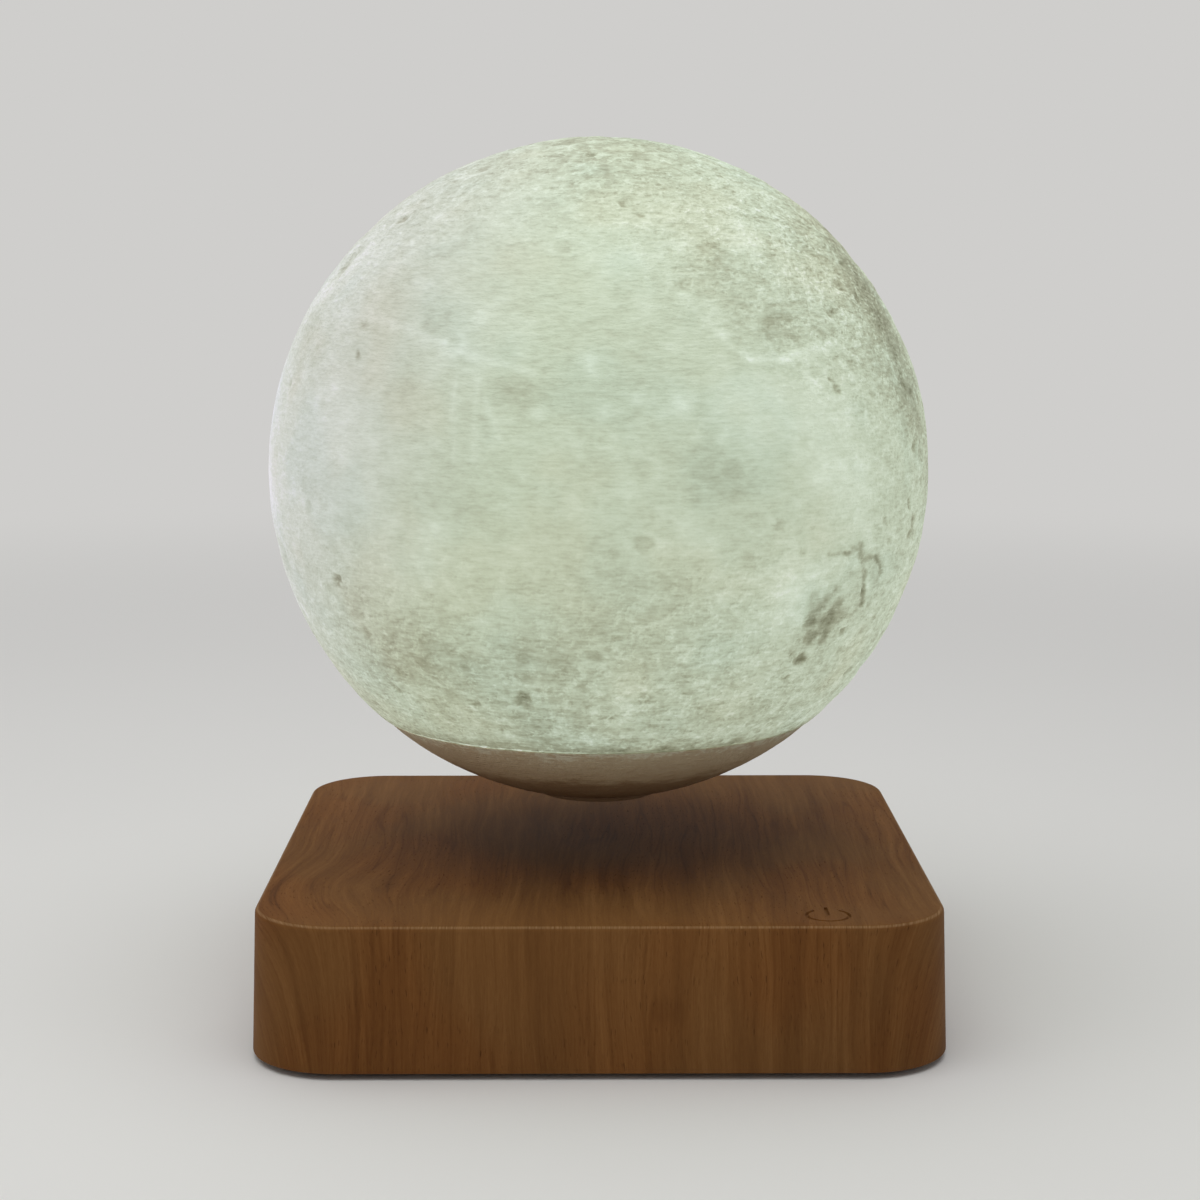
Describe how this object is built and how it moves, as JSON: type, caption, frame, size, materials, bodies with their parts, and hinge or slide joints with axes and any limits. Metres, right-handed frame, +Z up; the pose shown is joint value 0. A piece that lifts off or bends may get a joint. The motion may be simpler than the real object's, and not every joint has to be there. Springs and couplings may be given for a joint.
{
  "type": "moon lamp",
  "caption": "Levitating moon lamp: a lit globe with printed relief floats over a square, round-cornered wood-grain base with a touch mark and a rear power socket.",
  "frame": {"origin": "on the table, under the centre of the base, level with the undersides of the feet", "axes": "+Z up along the levitation axis, -Y to the front, where the touch mark is, +Y to the back, where the power socket is"},
  "size_m": [0.165, 0.165, 0.2137],
  "materials": {
    "wood_skin": "satin wood-grain film over a moulded shell",
    "black_plastic": "matte moulded",
    "screw_steel": "zinc plated",
    "soft_rubber": "matte",
    "circuit_board": "satin",
    "white_board": "satin",
    "chip_black": "matte",
    "bare_aluminium": "satin",
    "enamelled_copper": "gloss",
    "nickel_plate": "polished",
    "clear_plate": "satin",
    "ribbon_white": "satin",
    "printed_moon": "matte, in fine print layers",
    "printed_cap": "matte, in fine print layers",
    "lamp_phosphor": "satin"
  },
  "bodies": {
    "base": {"base_housing": "wood_skin", "base_magnets": "nickel_plate", "bottom_cover": "black_plastic", "coil_carrier": "clear_plate", "coil_windings": "enamelled_copper", "control_chips": "chip_black", "cover_screws": "screw_steel", "dc_socket": "black_plastic", "dc_socket_pin": "nickel_plate", "drive_transistors": "chip_black", "filter_capacitors": "bare_aluminium", "hall_sensor_board": "circuit_board", "hall_sensors": "chip_black", "heat_sink": "bare_aluminium", "lead_headers": "white_board", "main_board": "circuit_board", "module_tray": "black_plastic", "rubber_feet": "soft_rubber", "touch_board": "circuit_board", "touch_electrode": "enamelled_copper", "touch_lead": "ribbon_white", "transmit_coil": "enamelled_copper", "transmit_coil_lead": "ribbon_white"},
    "floating_magnet": {"lift_magnet": "nickel_plate"},
    "moon": {"moon_shell": "printed_moon", "moon_cap": "printed_cap", "landing_pad": "soft_rubber", "magnet_holder": "black_plastic", "receive_coil": "enamelled_copper", "lamp_board": "white_board", "lamps": "lamp_phosphor", "receiver_parts": "chip_black"}
  },
  "joints": [
    {"name": "moon_lift", "type": "slide", "parent": "base", "child": "floating_magnet", "axis": [0, 0, 1], "range_m": [-0.0134, 0.12], "stiffness_N_per_m": 150, "springref_m": 0.02911},
    {"name": "moon_spin", "type": "hinge", "parent": "floating_magnet", "child": "moon", "pos_m": [0, 0, 0.06], "axis": [0, 0, 1], "continuous": true}
  ]
}
